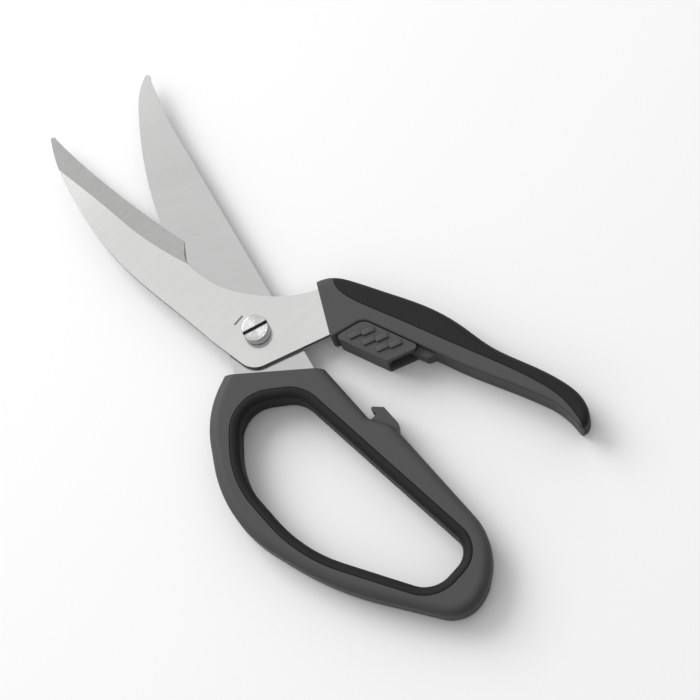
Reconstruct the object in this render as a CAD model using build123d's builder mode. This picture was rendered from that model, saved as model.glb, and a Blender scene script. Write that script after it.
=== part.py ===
"""Poultry shears with a closed finger bow, a thumb lever and a sliding lock.

The pivot axis is Z, with the origin where it meets the table. The shears lie flat on the backs
of their handles, with the blades towards -X and the handles towards +X.
The half with the bow is written where it lies. The half with the lever is written as it lies
when the shears are closed, on planes turned by the opening angle, so it comes out open.
"""
from build123d import *
import os
from math import cos, radians, sin, tan

# The whole object
handle_thickness = 15.0
blade_thickness = 2.4
blade_gap = 0.06  # running gap between the flat inner faces of the blades
open_angle = 22.4  # from closed to the open pose, in degrees
cut_overrun = 1.0

# Blades
blade_length = 115.4  # from the pivot to the tips
spine_height = 11.6  # the straight spine of the rear blade, above the pivot axis
edge_depth = 13.1  # the lowest line of both blades, below the pivot axis
edge_land = 0.3  # thickness left at a ground edge
neck_length = 38.9  # from the pivot to the end of the front blade's ground face
neck_height = 26.5  # where the neck meets the lever, above the pivot axis
neck_corner_radius = 8.0

# Where the bow takes the rear blade: a straight edge from its lower end up to the bow's upper edge
entry_bottom_x = 9.8
entry_bottom_y = -19.4
entry_setback = 2.6  # how far along the bow's upper edge from the lock's corner

# Where the lock is measured from: the corner under the lever's heel, on the line of that edge
lock_corner_x = 24.6
lock_corner_y = 14.2

# Lock, measured along and above the bow's straight upper edge
lock_edge_angle = 10.96
lock_gap = 0.4  # between the slider and what it lies beside
ledge_height = 11.3  # the lever's lower edge
slider_travel = 3.6
slider_start = 2.0
slider_foot = 24.2  # the far end of the slider's lower edge
slider_front_slant = 57.0
slider_rear_slant = 50.0
slider_round = 5.0
slider_corner = 1.2
slider_floor = 2.5
slider_recess = 0.2  # how far its faces lie under the lever's
rail_depth = 2.7
rail_width = 8.0
rail_reach = 36.6
rail_play = 0.3
groove_depth = 0.7
groove_height = 1.0
lip_start = 13.0
lip_length = 14.0
lip_play = 0.15
mark_start = 7.2
mark_bottom = 2.5
mark_length = 4.9
mark_width = 1.4
mark_jog = 0.8
mark_pitch = 5.8
mark_height = 0.5
mark_count = 3
hook_width = 7.4
hook_tip = 25.2
hook_height = 7.1
notch_height = 3.1
notch_depth = 3.5
bar_step = 5.0  # how much higher the bow's upper bar is behind the hook

# Bow
bow_length = 108.5  # from the corner of the straight upper edge, along it, to the far end
bow_depth = 62.9  # below the line of that edge
bow_rounding = 4.0

# Where the bow's roundings start, as shares of the shorter side at their corners: of its outline
# from the upper end of the blade's edge round, and of its hole from the corner nearest the pivot
bow_rounding_shares = (0, 0.091, 0.365, 0.678, 0.094, 0.712, 0.383, 0.521, 0.772, 0)
hole_rounding_shares = (0.256, 0.53, 0.381, 0.424, 0.389, 0.439)

# Liner, and the rear blade's tang in the bow
liner_width = 3.8
liner_rounding = 3.0
rear_tang_length = 21.3
rear_tang_depth = 33.8

# Lever
lever_reach = 102.7
lever_height = 26.3
lever_rounding = 3.0
lever_edge_rounding = 1.0
hard_band = 5.3  # height of the hard face under the soft grip
core_width = 9.0
core_height = 4.0
front_tang_length = 45.0
front_tang_height = 6.0

# Pivot
head_diameter = 10.5
head_chamfer = 0.5
slot_width = 1.35
slot_depth = 1.2
slot_angle = 88.0
washer_bore = 6.4
washer_diameter = 10.0
washer_thickness = 0.45
washer_dish = 0.2
shoulder_diameter = 6.0
thread_diameter = 4.5
pivot_play = 0.04
nut_diameter = 11.0
nut_floor = 1.0
nut_edge = 0.4
neck_diameter = 8.0
neck_flats = 6.6

# Opening spring, in a round pocket sunk into both blades
pocket_inner_radius = 5.0
pocket_outer_radius = 9.0
pocket_depth = 1.07
spring_thickness = 0.8
spring_radius = 5.75
spring_step = 0.75  # how much the radius grows in half a turn
spring_play = 0.06
spring_tail_inner = 1.7
spring_tail_outer = 2.9

# Click spring of the slider
click_thickness = 0.3
click_width = 3.6
click_length = 7.0
click_rise = 1.4
click_place = 16.8
click_play = 0.15

# Heights, from the table up
mid_height = handle_thickness / 2
spring_end = spring_radius + 2 * spring_step
rear_top = mid_height - blade_gap / 2
rear_bottom = rear_top - blade_thickness
front_bottom = mid_height + blade_gap / 2
front_top = front_bottom + blade_thickness
head_bottom = front_top + washer_thickness + washer_dish
blade_width = spine_height + edge_depth


def bow_level(height):
    """The plane of the bow's half at a height."""
    return Plane.XY.offset(height)


def lever_level(height):
    """The plane of the lever's half at a height, turned to the open pose."""
    return Plane.XY.rotated((0, 0, open_angle)).offset(height)


def spread(shares, length, height):
    """Points from their shares of a length and a height."""
    return [(along * length, up * height) for along, up in shares]


def lock_point(along, up):
    """A point given along and above the bow's straight upper edge, from the lock's corner."""
    angle = radians(lock_edge_angle)
    x = lock_corner_x + along * cos(angle) - up * sin(angle)
    y = lock_corner_y + along * sin(angle) + up * cos(angle)
    return (x, y)


def lock_points(*places):
    """Several such points."""
    return [lock_point(along, up) for along, up in places]


def entry_point(share):
    """A point on the edge where the bow takes the blade, as a share from its lower end."""
    top_x, top_y = lock_point(entry_setback, 0)
    x = entry_bottom_x + (top_x - entry_bottom_x) * share
    y = entry_bottom_y + (top_y - entry_bottom_y) * share
    return (x, y)


def beyond(points, ends, share):
    """Goes from each point towards its end by a share of the way."""
    return [
        (p[0] + (q[0] - p[0]) * share, p[1] + (q[1] - p[1]) * share)
        for p, q in zip(points, ends)
    ]


# A ground face slopes from an edge line up to an inner line; both go on past the blade.
# Its cutter is lofted a little past both lines, and reaches out to far points past the edge.
past_share = 0.1
front_edge_line_shares = [
    (-1.04, 0.63), (-0.86, 0.519), (-0.69, 0.470), (-0.54, 0.460), (-0.40, 0.482), (-0.26, 0.52),
]
front_inner_line_shares = [
    (-1.04, 0.25), (-0.88, 0.21), (-0.70, 0.180), (-0.54, 0.135), (-0.39, 0.175), (-0.26, 0.27),
]
front_far_shares = [(-0.20, 1.2), (-1.12, 1.2)]
rear_edge_line_shares = [
    (-1.06, 0.73), (-0.965, 0.332), (-0.871, 0.077), (-0.770, -0.122), (-0.63, -0.328), (-0.50, -0.445),
    (-0.36, -0.502),
]
rear_inner_line_shares = [
    (-1.01, 0.97), (-0.934, 0.575), (-0.846, 0.332), (-0.750, 0.146), (-0.617, -0.053), (-0.494, -0.170),
    (-0.32, -0.227),
]
rear_far_shares = [(-0.28, -0.9), (-1.12, -0.9)]


def bevel_section(edge_shares, inner_shares, far_shares, share):
    """The cutter's section at a share of the way from the edge line to the inner line."""
    edge = spread(edge_shares, blade_length, blade_width)
    inner = spread(inner_shares, blade_length, blade_width)
    line = beyond(edge, inner, share)
    far = spread(far_shares, blade_length, blade_width)
    with BuildLine() as outline:
        Spline(*line)
        Polyline(line[-1], *far, line[0])
    return outline.edges()


def bevel_height(edge_height, face_height, share):
    """The height of that section."""
    return edge_height + (face_height - edge_height) * share


with BuildPart() as front_bevel:
    for way_share in (-past_share, 1 + past_share):
        section_height = bevel_height(front_bottom + edge_land, front_top, way_share)
        with BuildSketch(lever_level(section_height)):
            make_face(
                bevel_section(front_edge_line_shares, front_inner_line_shares, front_far_shares, way_share)
            )
    loft(ruled=True)

with BuildPart() as rear_bevel:
    for way_share in (1 + past_share, -past_share):
        section_height = bevel_height(rear_top - edge_land, rear_bottom, way_share)
        with BuildSketch(bow_level(section_height)):
            make_face(
                bevel_section(rear_edge_line_shares, rear_inner_line_shares, rear_far_shares, way_share)
            )
    loft(ruled=True)

# Front blade: tip, concave edge, heel, neck, tang in the lever, rounded corner and convex spine
front_tip_shares = [(-0.9948, 0.526), (-1.0, 0.563), (-0.987, 0.597)]
front_edge_shares = [(-0.987, 0.597), (-0.86, 0.519), (-0.69, 0.470), (-0.54, 0.460), (-0.40, 0.482)]
neck_shares = [
    (-1.098, 0.306), (-1.0, 0.204), (-0.817, 0.174), (-0.648, 0.189), (-0.293, 0.374), (0.033, 0.698),
    (0.211, 1.0),
]
front_spine_shares = [
    (-0.9948, 0.526), (-0.9055, 0.231), (-0.8154, 0.020), (-0.6854, -0.2105), (-0.52, -0.401),
    (-0.3336, -0.474),
]
neck_corner_share = 0.208
spine_end_share = -0.1
tang_lift_share = 1 / 3
tang_back_share = 0.18
tang_bottom = ledge_height + front_tang_height * tang_lift_share
tang_top = tang_bottom + front_tang_height
front_tang_foot = lock_point(-3 * lock_gap, 4 * lock_gap)


neck_end = (neck_shares[-1][0] * neck_length, neck_shares[-1][1] * neck_height)


def front_tang_points():
    """The corners of the front blade's tang, inside the lever."""
    return lock_points(
        (-front_tang_length * tang_back_share, tang_top - lock_gap),
        (0, tang_top),
        (front_tang_length, tang_top),
        (front_tang_length, tang_bottom),
        (slider_start + ledge_height, tang_bottom),
        (2 * slider_start, tang_bottom - slider_round),
    )


def front_blade_outline():
    """The outline of the front blade with its tang."""
    tip = spread(front_tip_shares, blade_length, blade_width)
    edge = spread(front_edge_shares, blade_length, blade_width)
    neck = spread(neck_shares, neck_length, neck_height)
    spine = spread(front_spine_shares, blade_length, blade_width)
    spine_end = (spine_end_share * blade_length, -edge_depth)
    corner = (neck_corner_share * neck_length, -edge_depth)
    with BuildLine() as outline:
        ThreePointArc(*tip)
        Spline(*edge)
        Line(edge[-1], neck[0])
        Spline(*neck)
        Polyline(neck_end, *front_tang_points(), front_tang_foot, corner, spine_end)
        Spline(*spine, spine_end)
    return outline.edges(), corner


with BuildPart() as front_blade:
    with BuildSketch(lever_level(front_bottom)) as blade_face:
        outline_edges, corner_point = front_blade_outline()
        make_face(outline_edges)
        fillet(blade_face.vertices().sort_by_distance(corner_point)[0], neck_corner_radius)
    extrude(amount=blade_thickness)
    add(front_bevel.part, mode=Mode.SUBTRACT)
    with BuildSketch(lever_level(front_bottom - cut_overrun)):
        Circle(shoulder_diameter / 2 + pivot_play)
    extrude(amount=blade_thickness + 2 * cut_overrun, mode=Mode.SUBTRACT)
    with BuildSketch(lever_level(front_bottom - cut_overrun)):
        Circle(pocket_outer_radius)
        Circle(pocket_inner_radius, mode=Mode.SUBTRACT)
        with PolarLocations(spring_radius - spring_tail_inner / 2, 1, start_angle=-open_angle):
            Rectangle(spring_tail_inner + 2 * spring_play, spring_thickness + 2 * spring_play)
    extrude(amount=cut_overrun + pocket_depth, mode=Mode.SUBTRACT)
front_blade.part.label = "front_blade"

# Rear blade: tip, convex edge, tang in the bow and straight spine
rear_tip_shares = [(-0.983, 0.559), (-0.9995, 0.545), (-0.9965, 0.494)]
rear_edge_shares = [
    (-0.9965, 0.494), (-0.9645, 0.332), (-0.871, 0.077), (-0.770, -0.1215), (-0.63, -0.328),
    (-0.521, -0.433), (-0.3466, -0.502),
]
rear_spine_shares = [(-0.89, 0.505), (-0.983, 0.559)]
rear_spine_start_share = -0.80
rear_foot_share = 0.103
rear_top_share = (spine_height - entry_bottom_y) / (lock_point(entry_setback, 0)[1] - entry_bottom_y)
rear_tang_shares = [
    (1.0, -0.08), (0.96, -0.2), (0.19, -0.222), (-0.228, -0.415), (-0.4375, -0.646), (-0.485, -0.956),
    (-0.691, -1.067), (-0.848, -0.987),
]


def rear_tang_points():
    """The corners of the rear blade's tang, along and below the bow's straight upper edge."""
    return lock_points(*spread(rear_tang_shares, rear_tang_length, rear_tang_depth))


def rear_blade_outline():
    """The outline of the rear blade with its tang."""
    foot = entry_point(rear_foot_share)
    top = entry_point(rear_top_share)
    tip = spread(rear_tip_shares, blade_length, blade_width)
    edge = spread(rear_edge_shares, blade_length, blade_width)
    spine_start = (rear_spine_start_share * blade_length, spine_height)
    spine = spread(rear_spine_shares, blade_length, blade_width)
    with BuildLine() as outline:
        ThreePointArc(*tip)
        Spline(*edge, (0, -edge_depth), foot)
        Polyline(foot, *reversed(rear_tang_points()), top, spine_start)
        Spline(spine_start, *spine)
    return outline.edges()


with BuildPart() as rear_blade:
    with BuildSketch(bow_level(rear_bottom)):
        make_face(rear_blade_outline())
    extrude(amount=blade_thickness)
    add(rear_bevel.part, mode=Mode.SUBTRACT)
    with BuildSketch(bow_level(rear_bottom - cut_overrun)):
        Circle(neck_diameter / 2)
        Rectangle(neck_diameter, neck_flats, mode=Mode.INTERSECT)
    extrude(amount=blade_thickness + 2 * cut_overrun, mode=Mode.SUBTRACT)
    with BuildSketch(bow_level(rear_top - pocket_depth)):
        Circle(pocket_outer_radius)
        Circle(pocket_inner_radius, mode=Mode.SUBTRACT)
        with Locations((-spring_end - spring_tail_outer / 2, 0)):
            Rectangle(spring_tail_outer + 2 * spring_play, spring_thickness + 2 * spring_play)
    extrude(amount=pocket_depth + cut_overrun, mode=Mode.SUBTRACT)
rear_blade.part.label = "rear_blade"

# Pivot nut: a blind flange on the back, and a neck with two flats in the rear blade
with BuildPart() as pivot_nut:
    with BuildSketch(bow_level(0)):
        Circle(nut_diameter / 2)
    extrude(amount=rear_bottom)
    chamfer(pivot_nut.edges().group_by(Axis.Z)[0], nut_edge)
    with BuildSketch(bow_level(rear_bottom)):
        Circle(neck_diameter / 2)
        Rectangle(neck_diameter, neck_flats, mode=Mode.INTERSECT)
    extrude(amount=blade_thickness)
    with BuildSketch(bow_level(nut_floor)):
        Circle(thread_diameter / 2 + pivot_play)
    extrude(amount=rear_top, mode=Mode.SUBTRACT)
pivot_nut.part.label = "pivot_nut"

# Pivot screw: threaded end, shoulder through the front blade, and a slotted head
with BuildPart() as pivot_screw:
    with BuildSketch(bow_level(nut_floor + pivot_play)):
        Circle(thread_diameter / 2)
    extrude(amount=rear_top - nut_floor)
    with BuildSketch(bow_level(rear_top)):
        Circle(shoulder_diameter / 2)
    extrude(amount=head_bottom - rear_top)
    with BuildSketch(bow_level(head_bottom)):
        Circle(head_diameter / 2)
    extrude(amount=handle_thickness - head_bottom)
    chamfer(pivot_screw.edges().group_by(Axis.Z)[-1], head_chamfer)
    with BuildSketch(bow_level(handle_thickness - slot_depth)):
        Rectangle(head_diameter + 2 * cut_overrun, slot_width, rotation=slot_angle)
    extrude(amount=slot_depth + cut_overrun, mode=Mode.SUBTRACT)
pivot_screw.part.label = "pivot_screw"

# Spring washer: a ring dished so that its outer edge bears on the blade and its bore on the head
with BuildPart() as spring_washer:
    with BuildSketch(Plane.XZ):
        with BuildLine():
            Polyline(
                (washer_diameter / 2, front_top),
                (washer_bore / 2, front_top + washer_dish),
                (washer_bore / 2, front_top + washer_dish + washer_thickness),
                (washer_diameter / 2, front_top + washer_thickness),
                close=True,
            )
        make_face()
    revolve(axis=Axis.Z)
spring_washer.part.label = "spring_washer"

# Opening spring: one and a half turns of strip in half circles, its inner tail caught in the
# front blade and its outer tail in the rear blade
spring_bottom = rear_top - pocket_depth + spring_play
spring_top = front_bottom + pocket_depth - spring_play
with BuildPart() as opening_spring:
    with BuildSketch(bow_level(spring_bottom)):
        with BuildLine():
            CenterArc((0, 0), spring_radius, 0, 180)
            CenterArc((spring_step, 0), spring_radius + spring_step, 180, 180)
            CenterArc((0, 0), spring_end, 0, 180)
        trace(line_width=spring_thickness)
    extrude(amount=spring_top - spring_bottom)
    with BuildSketch(bow_level(front_bottom + spring_play)):
        with Locations((spring_radius - spring_tail_inner / 2, 0)):
            Rectangle(spring_tail_inner, spring_thickness)
    extrude(amount=spring_top - front_bottom - spring_play)
    with BuildSketch(bow_level(spring_bottom)):
        with Locations((-spring_end - spring_tail_outer / 2, 0)):
            Rectangle(spring_tail_outer, spring_thickness)
    extrude(amount=rear_top - spring_play - spring_bottom)
opening_spring.part.label = "opening_spring"

# Bow: corners of its outer outline beyond the bar, and of its hole
bow_corner_shares = [(0.973, -0.135), (1.024, -0.357), (0.627, -0.826), (0.2, -1.047), (-0.133, -0.709)]
bar_end_share = 0.871
bow_hole_corner_shares = [
    (0.02, -0.163), (-0.127, -0.534), (0.115, -0.862), (0.474, -0.861), (0.907, -0.423), (0.876, -0.003),
]
bow_step_share = 1.6
bow_step_start = slider_foot + slider_travel + lock_gap
bow_step_top = bow_step_start + bar_step * bow_step_share


def rounded_face(corners, shares):
    """A face with straight sides, rounded at each corner from a share of its shorter side."""
    with BuildSketch() as outline:
        with BuildLine():
            Polyline(*corners, close=True)
        make_face()
        neighbours = zip(corners[-1:] + corners, corners[1:] + corners[:1])
        for corner, share, ends in zip(corners, shares, neighbours):
            if share:
                first, second = [Vector(*end) - Vector(*corner) for end in ends]
                reach = share * min(first.length, second.length)
                rounding = reach * tan(radians(first.get_angle(second)) / 2)
                fillet(outline.vertices().sort_by_distance(corner)[0], rounding)
    return outline.face()


def bow_face():
    """The outer outline of the bow, sharp only at the two ends of the edge that takes the blade."""
    step = lock_points((bow_step_start, 0), (bow_step_top, bar_step))
    bar_end = lock_point(bar_end_share * bow_length, bar_step)
    far = [bar_end, *lock_points(*spread(bow_corner_shares, bow_length, bow_depth))]
    return rounded_face([entry_point(1), *step, *far, entry_point(0)], bow_rounding_shares)


def bow_hole():
    """The rounded hole of the hard bow, which the liner fills."""
    corners = lock_points(*spread(bow_hole_corner_shares, bow_length, bow_depth))
    return rounded_face(corners, hole_rounding_shares)


def hook_outline():
    """The catch hook: lip over the notch, ramp up to a flat pad, and a slope down to the bar."""
    wall = hook_tip + notch_depth
    with BuildLine() as outline:
        Polyline(
            *lock_points(
                (wall, -notch_height),
                (wall, notch_height),
                (hook_tip + lock_gap, notch_height),
                (hook_tip, notch_height + 2 * lock_gap),
                (hook_tip + notch_height, hook_height),
                (bow_step_top + lock_gap, hook_height),
                (bow_step_top + notch_depth, bar_step - lock_gap),
                (bow_step_top + notch_depth, -notch_height),
            ),
            close=True,
        )
    return outline.edges()


def rims_of(part, ends):
    """The edges of its two flat faces that don't run from one of two end points to the other."""
    rims = part.faces().filter_by(Axis.Z).edges()
    middle = Vector(*[(a + b) / 2 for a, b in zip(*ends)])
    return rims.filter_by(lambda rim: (Vector(rim.center().X, rim.center().Y) - middle).length > cut_overrun)


with BuildPart() as bow_handle:
    with BuildSketch(bow_level(0)):
        add(bow_face())
    extrude(amount=handle_thickness)
    fillet(rims_of(bow_handle, (entry_point(0), entry_point(1))), bow_rounding)
    with BuildSketch(bow_level(0)):
        add(bow_hole())
    extrude(amount=handle_thickness, mode=Mode.SUBTRACT)
    with BuildSketch(bow_level(mid_height - hook_width / 2)):
        make_face(hook_outline())
    extrude(amount=hook_width)
    with BuildSketch(bow_level(rear_bottom)):
        with BuildLine():
            Polyline(
                entry_point(rear_top_share), *rear_tang_points(), entry_point(rear_foot_share), close=True
            )
        make_face()
    extrude(amount=blade_thickness, mode=Mode.SUBTRACT)
bow_handle.part.label = "bow_handle"

# Liner: a soft ring in the bow's hole, rounded towards the fingers
with BuildPart() as bow_liner:
    with BuildSketch(bow_level(0)):
        add(bow_hole())
    extrude(amount=handle_thickness)
    with BuildSketch(bow_level(0)):
        add(offset(bow_hole(), amount=-liner_width))
    extrude(amount=handle_thickness, mode=Mode.SUBTRACT)
    fillet([face.inner_wires()[0].edges() for face in bow_liner.faces().filter_by(Axis.Z)], liner_rounding)
bow_liner.part.label = "bow_liner"

# Lever: the outline of the hard handle and the soft grip together, with the notch for the slider
lever_top_shares = [
    (-0.142, 0.65), (-0.088, 0.822), (-0.008, 0.892), (0.113, 0.945), (0.262, 0.998), (0.406, 0.963),
    (0.546, 0.859), (0.703, 0.852), (0.858, 0.82), (0.951, 0.685), (0.994, 0.42), (0.981, 0.307),
]
lever_low_shares = [(0.981, 0.307), (0.92, 0.42), (0.864, 0.476), (0.779, 0.489), (0.638, 0.463)]
lever_ledge_share = 0.42
slider_top = ledge_height - lock_gap


def slant_shift(up, angle):
    """How far along a line that leans at an angle is at a height above its foot."""
    return up / tan(radians(angle))


def notch_line(up):
    """How far along the wall of the lever's notch is, at a height."""
    foot = slider_start - lock_gap / sin(radians(slider_front_slant))
    return foot + slant_shift(up - lock_gap, slider_front_slant)


def lever_outline():
    """The outline of the lever, and the inner corner of its notch."""
    top = lock_points(*spread(lever_top_shares, lever_reach, lever_height))
    low = lock_points(*spread(lever_low_shares, lever_reach, lever_height))
    ledge_start = lock_point(lever_ledge_share * lever_reach, ledge_height)
    notch_corner = lock_point(notch_line(ledge_height), ledge_height)
    notch_foot = lock_point(notch_line(lock_gap), lock_gap)
    with BuildLine() as outline:
        Spline(*top)
        Spline(*low, ledge_start)
        Polyline(ledge_start, notch_corner, notch_foot, lock_point(0, lock_gap), top[0])
    return outline.edges(), notch_corner


with BuildPart() as lever_form:
    with BuildSketch(lever_level(0)) as lever_face:
        outline_edges, notch_point = lever_outline()
        make_face(outline_edges)
        fillet(lever_face.vertices().sort_by_distance(notch_point)[0], slider_round + lock_gap)
    extrude(amount=handle_thickness)
    top_rim = lever_form.faces().filter_by(Axis.Z).edges().filter_by(lambda rim: rim.length > lever_reach)
    fillet(top_rim, lever_rounding)
    low_rim = lever_form.faces().filter_by(Axis.Z).edges().filter_by(GeomType.BSPLINE)
    low_rim = low_rim.filter_by(lambda rim: rim.length < lever_reach and rim.length > lever_reach / 2)
    fillet(low_rim, lever_edge_rounding)

# The line between the hard face and the soft grip, with ends past the outline, and the hard core
# that reaches up into the grip between its two sides
soft_line_shares = [
    (-0.102, 0.86), (-0.0847, 0.760), (-0.0575, 0.677), (-0.0175, 0.631), (0.0175, 0.618), (0.1285, 0.624),
    (0.412, 0.646), (0.611, 0.665), (0.774, 0.648), (0.863, 0.59), (0.955, 0.425), (1.01, 0.275),
]
hard_far_shares = [(1.1, -0.3), (-0.3, -0.3), (-0.3, 0.86)]
core_shares = [(-0.10, 0.5), (-0.08, 0.75), (-0.04, 0.78), (0.70, 0.78), (0.87, 0.68), (0.90, 0.5)]


def hard_region():
    """Everything on the slider's side of the line between the hard face and the soft grip."""
    line = lock_points(*spread(soft_line_shares, lever_reach, lever_height))
    far = lock_points(*spread(hard_far_shares, lever_reach, lever_height))
    with BuildLine() as outline:
        Spline(*line)
        Polyline(line[-1], *far, line[0])
    return outline.edges()


with BuildPart() as hard_side:
    with BuildSketch(lever_level(-cut_overrun)):
        make_face(hard_region())
    extrude(amount=handle_thickness + 2 * cut_overrun)
    with BuildSketch(lever_level(mid_height - core_width / 2)):
        with BuildLine():
            Polyline(*lock_points(*spread(core_shares, lever_reach, lever_height)), close=True)
        make_face()
    extrude(amount=core_width)

# Lever handle: the hard side of the lever, with the front blade's tang and the slider's rail
rail_bottom = ledge_height - rail_depth
rail_level = mid_height - rail_width / 2
groove_bottom = (rail_bottom + ledge_height - groove_height) / 2
click_top = rail_bottom + click_rise - click_thickness / 2


def lock_box(start, end, bottom, top):
    """A box along the bow's upper edge, seen from the front."""
    with BuildLine() as outline:
        Polyline(*lock_points((start, bottom), (end, bottom), (end, top), (start, top)), close=True)
    return outline.edges()


with BuildPart() as lever_handle:
    add(lever_form.part)
    add(hard_side.part, mode=Mode.INTERSECT)
    with BuildSketch(lever_level(rail_level)):
        with BuildLine():
            Polyline(
                *lock_points(
                    (notch_line(rail_bottom) - cut_overrun, rail_bottom),
                    (rail_reach, rail_bottom),
                    (rail_reach + rail_depth, ledge_height),
                    (rail_reach + rail_depth, ledge_height + cut_overrun),
                    (notch_line(rail_bottom) - cut_overrun, ledge_height + cut_overrun),
                ),
                close=True,
            )
        make_face()
    extrude(amount=rail_width)
    for groove_level in (rail_level, rail_level + rail_width - groove_depth):
        with BuildSketch(lever_level(groove_level)):
            make_face(
                lock_box(
                    lip_start - rail_play,
                    lip_start + lip_length + slider_travel + rail_play,
                    groove_bottom,
                    groove_bottom + groove_height,
                )
            )
        extrude(amount=groove_depth, mode=Mode.SUBTRACT)
    with BuildSketch(lever_level(mid_height - click_width / 2 - click_play)):
        make_face(
            lock_box(
                click_place - click_length / 2 - click_play,
                click_place + click_length / 2 + click_play,
                rail_bottom - cut_overrun,
                click_top + click_thickness / 2,
            )
        )
    extrude(amount=click_width + 2 * click_play, mode=Mode.SUBTRACT)
    with BuildSketch(lever_level(front_bottom)):
        with BuildLine():
            Polyline(neck_end, *front_tang_points(), front_tang_foot, close=True)
        make_face()
    extrude(amount=blade_thickness, mode=Mode.SUBTRACT)
lever_handle.part.label = "lever_handle"

# Lever grip: the soft side of the lever, wrapped over the hard core
with BuildPart() as lever_grip:
    add(lever_form.part)
    add(hard_side.part, mode=Mode.SUBTRACT)
lever_grip.part.label = "lever_grip"

# Click spring: a leaf in the rail with a bump that drops into one of two dimples in the slider
with BuildPart() as click_spring:
    with BuildSketch(lever_level(mid_height - click_width / 2)):
        with BuildLine():
            Polyline(
                *lock_points(
                    (click_place - click_length / 2, click_top),
                    (click_place - click_rise, click_top),
                    (click_place, click_top - click_rise),
                    (click_place + click_rise, click_top),
                    (click_place + click_length / 2, click_top),
                )
            )
        trace(line_width=click_thickness)
    extrude(amount=click_width)
click_spring.part.label = "click_spring"

# Lock slider: a channel that rides on the rail, with a toe that goes under the hook's lip
slider_thickness = handle_thickness - 2 * slider_recess
channel_width = rail_width + 2 * rail_play
channel_bottom = rail_bottom - rail_play
lip_depth = rail_play + groove_depth - lip_play
pocket_start = hook_tip - slider_travel - lock_gap
dimple_depth = rail_bottom - click_top + click_rise + click_thickness - rail_play


def slider_outline():
    """The slanted outline of the slider, and its four corners."""
    rise = slider_top - lock_gap
    corners = lock_points(
        (slider_start, lock_gap),
        (slider_foot, lock_gap),
        (slider_foot + slant_shift(rise, slider_rear_slant), slider_top),
        (slider_start + slant_shift(rise, slider_front_slant), slider_top),
    )
    with BuildLine() as outline:
        Polyline(*corners, close=True)
    return outline.edges(), corners


with BuildPart() as lock_slider:
    with BuildSketch(lever_level(slider_recess)) as slider_face:
        outline_edges, corner_points = slider_outline()
        make_face(outline_edges)
        for corner_point in corner_points[:3]:
            fillet(slider_face.vertices().sort_by_distance(corner_point)[0], slider_corner)
        fillet(slider_face.vertices().sort_by_distance(corner_points[3])[0], slider_round)
    extrude(amount=slider_thickness)
    with BuildSketch(lever_level(mid_height - channel_width / 2)):
        make_face(lock_box(0, 2 * slider_foot, channel_bottom, ledge_height))
        make_face(lock_box(pocket_start, 2 * slider_foot, lock_gap + slider_floor, ledge_height))
        make_face(lock_box(slider_foot, 2 * slider_foot, 0, ledge_height))
        for dimple in (click_place, click_place - slider_travel):
            with BuildLine():
                Polyline(
                    *lock_points(
                        (dimple - click_rise, channel_bottom),
                        (dimple, channel_bottom - dimple_depth),
                        (dimple + click_rise, channel_bottom),
                    ),
                    close=True,
                )
            make_face()
    extrude(amount=channel_width, mode=Mode.SUBTRACT)
    for lip_level in (mid_height - channel_width / 2, mid_height + channel_width / 2 - lip_depth):
        with BuildSketch(lever_level(lip_level)):
            make_face(
                lock_box(
                    lip_start,
                    lip_start + lip_length,
                    groove_bottom + lip_play,
                    groove_bottom + groove_height - lip_play,
                )
            )
        extrude(amount=lip_depth)
    with BuildSketch(lever_level(slider_recess + slider_thickness)):
        for mark in range(mark_count):
            for half in range(2):
                slant = radians(slider_rear_slant)
                along = mark_length * (half + 0.5)
                middle = lock_point(
                    mark_start + mark * mark_pitch + along * cos(slant) + half * mark_jog * sin(slant),
                    mark_bottom + along * sin(slant) - half * mark_jog * cos(slant),
                )
                with Locations(middle):
                    Rectangle(mark_length, mark_width, rotation=lock_edge_angle + slider_rear_slant)
    extrude(amount=mark_height)
lock_slider.part.label = "lock_slider"

os.makedirs("parts", exist_ok=True)
for piece in (
    front_blade, rear_blade, pivot_screw, spring_washer, pivot_nut, opening_spring, bow_handle, bow_liner,
    lever_handle, lever_grip, lock_slider, click_spring,
):
    export_step(piece.part, f"parts/{piece.part.label}.step")
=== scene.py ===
"""Poultry shears, dressed for the picture.

In order: camera, blades, pivot, springs, handles, soft grips, thumb ridges and room.
"""

import bpy
from math import cos, radians, sin
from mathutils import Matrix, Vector


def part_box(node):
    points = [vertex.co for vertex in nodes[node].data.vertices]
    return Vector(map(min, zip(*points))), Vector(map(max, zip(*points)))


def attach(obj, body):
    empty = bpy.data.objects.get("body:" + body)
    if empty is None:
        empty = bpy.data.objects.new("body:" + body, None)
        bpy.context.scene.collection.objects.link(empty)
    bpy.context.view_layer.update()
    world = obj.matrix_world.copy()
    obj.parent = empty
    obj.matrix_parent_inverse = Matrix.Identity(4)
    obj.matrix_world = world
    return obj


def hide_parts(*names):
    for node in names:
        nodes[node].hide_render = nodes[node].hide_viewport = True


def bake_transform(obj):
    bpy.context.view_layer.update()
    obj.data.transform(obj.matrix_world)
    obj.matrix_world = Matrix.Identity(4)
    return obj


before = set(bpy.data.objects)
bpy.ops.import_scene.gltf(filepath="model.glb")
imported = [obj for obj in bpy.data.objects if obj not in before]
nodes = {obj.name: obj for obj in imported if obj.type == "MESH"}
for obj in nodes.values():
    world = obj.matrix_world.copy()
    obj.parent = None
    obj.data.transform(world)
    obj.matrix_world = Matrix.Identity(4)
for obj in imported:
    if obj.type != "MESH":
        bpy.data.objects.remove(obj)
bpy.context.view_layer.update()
bpy.ops.object.select_all(action="DESELECT")

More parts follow.
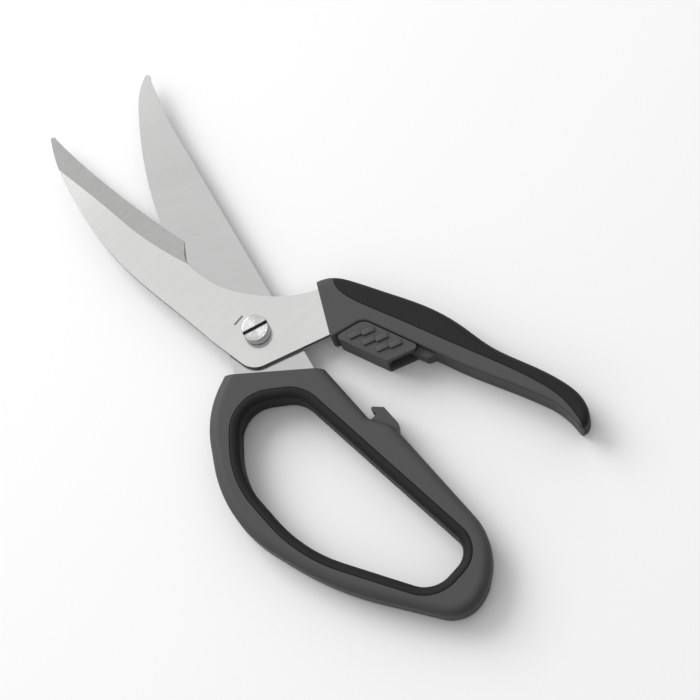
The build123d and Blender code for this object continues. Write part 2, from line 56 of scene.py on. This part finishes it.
# Camera: looks down on the shears from beyond their handles, a little off the pivot's axis, with
# a long lens.
bpy.ops.object.camera_add(
    location=(0.36029, -0.01359, 1.04990),
    rotation=(radians(16.5845), radians(7.0971), radians(60.6357)),
)
camera = bpy.context.object
camera.name = "picture_camera"
camera.data.lens = 149.91
camera.data.clip_end = 20
bpy.context.scene.camera = camera
bpy.context.scene.view_settings.view_transform = "Standard"


# Blades: two halves blanked from stainless sheet and ground satin on their flat sides. Each has
# a slope ground across it down to its cutting edge, which leaves fine lines, and the slope is
# painted darker than the flat as shade. The walls that the blanking die cut are rougher, and are
# painted dark as shade. The rear blade is painted darker than the front as its shade.


class Shader:
    """A socket in a material. Sums and products with it add Math nodes."""

    def __init__(self, tree, socket=None):
        self.tree = tree
        self.socket = socket

    def node(self, kind, settings, values, output=0):
        """An output of a new node, made from its settings and its sockets' values or links."""
        made = self.tree.nodes.new(kind)
        for name, value in settings.items():
            setattr(made, name, value)
        for key, value in values.items():
            if isinstance(value, Shader):
                self.tree.links.new(value.socket, made.inputs[key])
            else:
                made.inputs[key].default_value = value
        return Shader(self.tree, made.outputs[output])

    def math(self, operation, first, second=0.0):
        """The result of a Math node."""
        return self.node("ShaderNodeMath", {"operation": operation}, {0: first, 1: second})

    def __add__(self, other):
        return self.math("ADD", self, other)

    def __radd__(self, other):
        return self.math("ADD", other, self)

    def __sub__(self, other):
        return self.math("SUBTRACT", self, other)

    def __rsub__(self, other):
        return self.math("SUBTRACT", other, self)

    def __mul__(self, other):
        return self.math("MULTIPLY", self, other)

    def __rmul__(self, other):
        return self.math("MULTIPLY", other, self)

    def step(self, low, high):
        """0 where this is at low, 1 where it is at high, and smooth between them."""
        values = {0: self, 1: low, 2: high}
        return self.node("ShaderNodeMapRange", {"interpolation_type": "SMOOTHSTEP"}, values)

    def mix(self, low, high):
        """The colour at this share of the way from one to another."""
        low, high = ((*c, 1.0) if isinstance(c, tuple) else c for c in (low, high))
        return self.node("ShaderNodeMix", {"data_type": "RGBA"}, {0: self, 6: low, 7: high}, 2)

    def grain(self, per_metre, detail=3.0, stretch=(1, 1, 1), turn=0.0):
        """Noise with so many grains a metre at this place, stretched along a turned direction."""
        turned = self.node("ShaderNodeMapping", {}, {"Vector": self, "Rotation": (0, 0, -turn)})
        scaled = self.node("ShaderNodeMapping", {}, {"Vector": turned, "Scale": stretch})
        values = {"Vector": scaled, "Scale": per_metre, "Detail": detail}
        return self.node("ShaderNodeTexNoise", {}, values)

    def part(self, axis):
        """The x, y or z of this place or direction."""
        return self.node("ShaderNodeSeparateXYZ", {}, {0: self}, "xyz".index(axis))

    def bump(self, depth, edge=0.0):
        """The normal of a surface that this height, from 0 to 1, raises over a depth in metres.

        Edges look rounded to a radius of edge.
        """
        values = {"Height": self, "Distance": depth}
        if edge:
            values["Normal"] = self.node("ShaderNodeBevel", {"samples": 6}, {"Radius": edge})
        return self.node("ShaderNodeBump", {}, values)


def material_of(name, roughness, metallic, looks, **constants):
    """A material with constants on its shader, and what a function of place and normal feeds it."""
    material = bpy.data.materials.new(name)
    material.use_nodes = True
    tree = material.node_tree
    surface = tree.nodes["Principled BSDF"]
    surface.inputs["Roughness"].default_value = roughness
    surface.inputs["Metallic"].default_value = metallic
    for socket, value in constants.items():
        surface.inputs[socket.replace("_", " ")].default_value = value
    start = Shader(tree)
    place = start.node("ShaderNodeTexCoord", {}, {}, 3)
    normal = start.node("ShaderNodeNewGeometry", {}, {}, 1)
    for socket, value in looks(place, normal).items():
        tree.links.new(value.socket, surface.inputs[socket.replace("_", " ")])
    return material


def dress(material, *names):
    """Gives CAD nodes a material."""
    for name in names:
        nodes[name].data.materials.clear()
        nodes[name].data.materials.append(material)


def shade(colour, share):
    """A colour made darker to a share of itself."""
    return tuple(part * share for part in colour)


front_grey = (0.66, 0.66, 0.65)
# the rear blade's grey is the front's steel painted with shade
rear_shaded_grey = (0.54, 0.54, 0.535)
# the slope's grey is painted shade, darker than the flat
slope_shaded_grey = (0.43, 0.43, 0.425)
# painted shade for the blades' walls
wall_shade_grey = (0.10, 0.10, 0.10)
mark_grey = (0.22, 0.22, 0.22)
mark_place = (-0.00756, -0.00394, 0.0)
mark_turn = radians(109)
mark_half_length = 0.0023
mark_half_width = 0.00045
mark_blur = 0.0001


def blade_steel(name, satin_turn, slope_turn, flat_grey, marked):
    """Satin steel with its grain along one direction, and ground slopes with lines along another.

    Where marked is 1, a short line is stamped beside the pivot.
    """

    def looks(place, normal):
        upright = place.math("ABSOLUTE", normal.part("z"))
        slope = 1 - upright.step(0.985, 0.995)
        # walls: painted dark as shade, and rougher
        shaded_wall = 1 - upright.step(0.35, 0.60)
        satin = place.grain(420, 4.0, (0.06, 1, 1), satin_turn)
        lines = place.grain(900, 4.0, (0.05, 1, 1), slope_turn)
        cloud = place.grain(22, 2.0)
        flat = (satin * 0.5 + cloud * 0.5).step(0.25, 0.75).mix(shade(flat_grey, 0.95), flat_grey)
        # grind lines are real; the slope's darker grey is painted shade
        ground = lines.step(0.2, 0.8).mix(shade(slope_shaded_grey, 0.90), slope_shaded_grey)
        turned = {"Vector": place, "Location": mark_place, "Rotation": (0, 0, mark_turn)}
        from_mark = place.node("ShaderNodeMapping", {"vector_type": "TEXTURE"}, turned)
        along, across = (from_mark.math("ABSOLUTE", from_mark.part(axis)) for axis in "xy")
        within = along.math("MAXIMUM", along - mark_half_length, across - mark_half_width)
        on_top = normal.part("z").step(0.5, 0.9)
        stamp = (1 - within.step(-mark_blur, mark_blur)) * on_top * marked
        height = satin * (1 - slope) * 0.15 + lines * slope * 0.3 - stamp * 0.7
        face = stamp.mix(slope.mix(flat, ground), mark_grey)
        return {
            "Base_Color": shaded_wall.mix(face, wall_shade_grey),
            "Roughness": 0.13 + cloud * 0.06 + slope * 0.16 + shaded_wall * 0.2,
            "Normal": height.bump(0.00002),
        }

    return material_of(name, 0.3, 1.0, looks)


front_steel = blade_steel("front_blade_steel", radians(104), radians(110), front_grey, 1)
rear_steel = blade_steel("rear_blade_steel", radians(72), radians(90), rear_shaded_grey, 0)
dress(front_steel, "front_blade")
dress(rear_steel, "rear_blade")

# Pivot: a screw turned from stainless bar holds the blades on a blind nut, over a dished spring
# washer. The lathe leaves fine rings around the axis, and the screwdriver slot is painted dark as
# shade.
head_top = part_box("pivot_screw")[1][2]
# the slot below these heights is painted dark as shade
slot_shade = (head_top - 0.0007, head_top - 0.0005)  # heights over which the slot turns dark
head_rim = (0.00505, 0.00515)  # radii over which the head ends
groove_radius = 0.0041
ring_wave = 40000  # radians to a metre
edge_round = 0.0003  # the radius that hard edges seem to have
slot_shade_grey = (0.05, 0.05, 0.05)


def turned_steel(name, grey):
    """Steel with the rings of the lathe, with painted shade in the slot, in the groove and on
    walls.
    """

    def looks(place, normal):
        x, y, z = (place.part(axis) for axis in "xyz")
        radius = place.math("SQRT", x * x + y * y)
        rings = place.math("SINE", radius * ring_wave) * 0.5 + 0.5
        groove = 1 - place.math("ABSOLUTE", radius - groove_radius).step(0.00006, 0.00016)
        wear = place.grain(500, 4.0)
        # inside the slot: painted shade
        sunk_shade = (1 - z.step(*slot_shade)) * (1 - radius.step(*head_rim))
        # the head's walls are painted darker as shade
        shaded_wall = 1 - place.math("ABSOLUTE", normal.part("z")).step(0.3, 0.7)
        # the groove is darkened in colour as painted shade, besides its bump
        face = (rings * 0.3 + wear * 0.7 - groove * 0.4).step(0.0, 0.8).mix(shade(grey, 0.7), grey)
        return {
            "Base_Color": sunk_shade.mix(shaded_wall.mix(face, shade(grey, 0.45)), slot_shade_grey),
            "Roughness": 0.20 + wear * 0.12 + sunk_shade * 0.2,
            "Normal": (rings * 0.11 + wear * 0.04 - groove * 0.7).bump(0.00006, edge_round),
        }

    return material_of(name, 0.28, 1.0, looks)


dress(turned_steel("screw_steel", (0.60, 0.60, 0.595)), "pivot_screw")


def plated_steel(name, grey, roughness):
    """Bright steel of a small stamped or turned part."""

    def looks(place, normal):
        wear = place.grain(700, 4.0)
        return {
            "Base_Color": wear.step(0.3, 0.7).mix(shade(grey, 0.85), grey),
            "Roughness": roughness + wear * 0.12,
            "Normal": wear.bump(0.000006),
        }

    return material_of(name, roughness, 1.0, looks)


dress(plated_steel("nut_steel", (0.55, 0.55, 0.545), 0.25), "pivot_nut", "spring_washer")

# Springs: the flat spiral that opens the shears lies in a pocket between the blades, and a bent
# leaf clicks the slider on its rail. Both are blued strip. The spiral's lower tail is caught in
# the rear blade and its upper one in the front blade, so it winds up as the shears close.
blued_strip = plated_steel("blued_strip", (0.20, 0.21, 0.26), 0.30)
dress(blued_strip, "click_spring")
merge_distance = 0.000005


def merged_copy(name, node):
    """A copy of a CAD node's mesh, with its loose triangles merged, as the only selected object."""
    piece = bpy.data.objects.new(name, nodes[node].data.copy())
    bpy.context.scene.collection.objects.link(piece)
    bpy.ops.object.select_all(action="DESELECT")
    bpy.context.view_layer.objects.active = piece
    piece.select_set(True)
    bpy.ops.object.mode_set(mode="EDIT")
    bpy.ops.mesh.select_all(action="SELECT")
    bpy.ops.mesh.remove_doubles(threshold=merge_distance)
    bpy.ops.object.mode_set(mode="OBJECT")
    piece.data.materials.clear()
    return piece


coil = merged_copy("opening_coil", "opening_spring")
coil.data.materials.append(blued_strip)
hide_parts("opening_spring")
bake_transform(coil)

# Handles: the finger bow and the thumb lever are moulded over the blades' tangs from hard grey
# plastic, and the lock slider is of the same. The mould gives it a fine matt grain.


def moulded(name, grey, painted_wall_shade, roughness, grain_depth, gloss):
    """Plastic with the fine grain of its mould, and walls painted darker as shade."""

    def looks(place, normal):
        fine = place.grain(3600, 2.0)
        cloud = place.grain(45, 3.0)
        # walls: painted shade
        shaded_wall = 1 - place.math("ABSOLUTE", normal.part("z")).step(0.15, 0.65)
        face = (fine * 0.6 + cloud * 0.4).step(0.3, 0.7).mix(shade(grey, 0.93), grey)
        return {
            "Base_Color": shaded_wall.mix(face, shade(grey, painted_wall_shade)),
            "Roughness": roughness - 0.04 + cloud * 0.08,
            "Normal": fine.bump(grain_depth, edge_round),
        }

    return material_of(name, roughness, 0.0, looks, Specular_IOR_Level=gloss)


hard_grey = (0.078, 0.078, 0.0787)
hard_plastic = moulded("hard_plastic", hard_grey, 0.57, 0.50, 0.000025, 0.2)
dress(hard_plastic, "bow_handle", "lever_handle", "lock_slider")

# Soft grips: a dark rubbery skin is moulded into the bow's hole and over the palm's side of the
# lever. Each fills the place of its CAD solid, with its rims rounded off.
soft_grey = (0.0145, 0.0145, 0.015)
soft_plastic = moulded("soft_plastic", soft_grey, 0.9, 0.58, 0.00003, 0.18)
skin_voxel = 0.0004
smoothing_passes = 3


def soft_skin(name, node, body):
    """A skin in the place of a CAD node, remeshed whole and smoothed."""
    skin = merged_copy(name, node)
    remesh = skin.modifiers.new("whole", "REMESH")
    remesh.mode = "VOXEL"
    remesh.voxel_size = skin_voxel
    smooth = skin.modifiers.new("rounded", "SMOOTH")
    smooth.factor = 0.5
    smooth.iterations = smoothing_passes
    for modifier in (remesh.name, smooth.name):
        bpy.ops.object.modifier_apply(modifier=modifier)
    bpy.ops.object.shade_smooth()
    skin.data.materials.append(soft_plastic)
    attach(skin, body)
    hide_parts(node)


soft_skin("finger_liner", "bow_liner", "bow_half")
soft_skin("palm_grip", "lever_grip", "lever_half")

# Ridges: three stepped saw teeth for the thumb lie over the plain marks on the slider's plate.
# Each half of a tooth rises gently to a crest and drops at once, with its edges a little rounded.
lock_corner = (0.01733, 0.02250)
bar_turn = radians(33.36)  # of the slider's long side, with the shears open
tooth_lean = radians(50)  # of the teeth from that side
tooth_turn = bar_turn + tooth_lean
tooth_start = (0.0072, 0.0025)  # from the lock's corner, along and above that side
tooth_pitch = 0.0058
tooth_length = 0.0049  # of one half
tooth_jog = 0.0008  # sideways, from the first half to the second
tooth_back = 0.0013  # from the middle of its line to its low side
tooth_front = 0.0009  # and to its crest
tooth_low = 0.0008
tooth_crest = 0.0010
tooth_round = 0.0002
mark_height = 0.0005
plate_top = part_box("lock_slider")[1][2] - mark_height

bpy.ops.object.select_all(action="DESELECT")
bpy.ops.mesh.primitive_cube_add(size=1, location=(0, 0, 0))
tooth = bpy.context.object
bpy.ops.object.mode_set(mode="EDIT")
bpy.ops.transform.resize(value=(tooth_length, tooth_back + tooth_front, tooth_crest))
sideways = (tooth_back - tooth_front) / 2
bpy.ops.transform.translate(value=(0, sideways, tooth_crest / 2 - tooth_round))
bpy.ops.mesh.select_all(action="DESELECT")
bpy.ops.object.mode_set(mode="OBJECT")
for edge in tooth.data.edges:
    ends = [tooth.data.vertices[index].co for index in edge.vertices]
    edge.select = all(end.y > 0 and end.z > 0 for end in ends)
bpy.ops.object.mode_set(mode="EDIT")
bpy.ops.mesh.select_mode(type="EDGE")
bpy.ops.transform.translate(value=(0, 0, tooth_low - tooth_crest))
bpy.ops.mesh.select_all(action="SELECT")
bpy.ops.mesh.bevel(offset=tooth_round, segments=3)
bpy.ops.object.mode_set(mode="OBJECT")
bpy.ops.object.shade_smooth_by_angle(angle=radians(40))
tooth.data.materials.append(hard_plastic)


def ridge(number, half):
    """A copy of the tooth for one half of a ridge, on its slanted line on the plate."""
    piece = bpy.data.objects.new(f"thumb_ridge_{number}_{'ab'[half]}", tooth.data.copy())
    bpy.context.scene.collection.objects.link(piece)
    along = tooth_length * (half + 0.5)
    across = tooth_jog * half
    forward = tooth_start[0] + tooth_pitch * number
    forward += along * cos(tooth_lean) + across * sin(tooth_lean)
    up = tooth_start[1] + along * sin(tooth_lean) - across * cos(tooth_lean)
    piece.location = (
        lock_corner[0] + forward * cos(bar_turn) - up * sin(bar_turn),
        lock_corner[1] + forward * sin(bar_turn) + up * cos(bar_turn),
        plate_top,
    )
    piece.rotation_euler = (0, 0, tooth_turn)
    bpy.ops.object.select_all(action="DESELECT")
    bpy.context.view_layer.objects.active = piece
    piece.select_set(True)
    bpy.ops.object.transform_apply(location=True, rotation=True, scale=True)
    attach(piece, "slider")


for number in range(3):
    for half in range(2):
        ridge(number, half)
bpy.data.objects.remove(tooth)

# Room: a pale floor just under the shears, with a soft light up on the left of the picture. The
# sky that lights them is brighter on that side. The camera sees it white, and so does the steel,
# but for a darker far side.
bpy.ops.mesh.primitive_plane_add(size=8.0, location=(0, 0, -0.0001))
bpy.ops.object.transform_apply(location=True)
floor = bpy.context.object
floor.name = "floor"


def seen(tree):
    """Two shares: 1 for a ray of the camera, gloss or glass, and 1 for one of gloss alone."""
    rays = tree.nodes.new("ShaderNodeLightPath")
    kinds = ("Is Camera Ray", "Is Glossy Ray", "Is Transmission Ray")
    camera_ray, glossy_ray, through_ray = (Shader(tree, rays.outputs[kind]) for kind in kinds)
    return camera_ray.math("MINIMUM", camera_ray + glossy_ray + through_ray, 1.0), glossy_ray


floor_paint = bpy.data.materials.new("floor_paint")
floor_paint.use_nodes = True
surface = floor_paint.node_tree.nodes["Principled BSDF"]
surface.inputs["Roughness"].default_value = 0.9
surface.inputs["Specular IOR Level"].default_value = 0.0
floor_grey = seen(floor_paint.node_tree)[0].mix((0.22, 0.22, 0.22), (0.98, 0.98, 0.98))
floor_paint.node_tree.links.new(floor_grey.socket, surface.inputs["Base Color"])
floor.data.materials.append(floor_paint)

light_side = Vector((-0.70, -0.30, 0.65))
bpy.ops.object.light_add(type="AREA", location=light_side * 1.5)
light = bpy.context.object
light.name = "key"
light.data.size = 1.0
light.data.energy = 14.0
light.rotation_euler = light.location.to_track_quat("Z", "Y").to_euler()

world = bpy.data.worlds.new("surround")
bpy.context.scene.world = world
world.use_nodes = True
tree = world.node_tree
tree.nodes.clear()
start = Shader(tree)
way = start.node("ShaderNodeTexCoord", {}, {}, 0)
ways = {0: way, 1: light_side.normalized()}
toward = start.node("ShaderNodeVectorMath", {"operation": "DOT_PRODUCT"}, ways, 1)
sky = toward.step(-0.5, 0.9) * 0.72 + 0.14
white, glossy_ray = seen(tree)
far_side = 1 - toward.step(-0.75, 0.35)
strength = sky * (1 - white) + white * (1 - glossy_ray * far_side * 0.8)
surround = start.node("ShaderNodeBackground", {}, {"Color": (1, 1, 1, 1), "Strength": strength})
room = tree.nodes.new("ShaderNodeOutputWorld")
tree.links.new(surround.socket, room.inputs["Surface"])
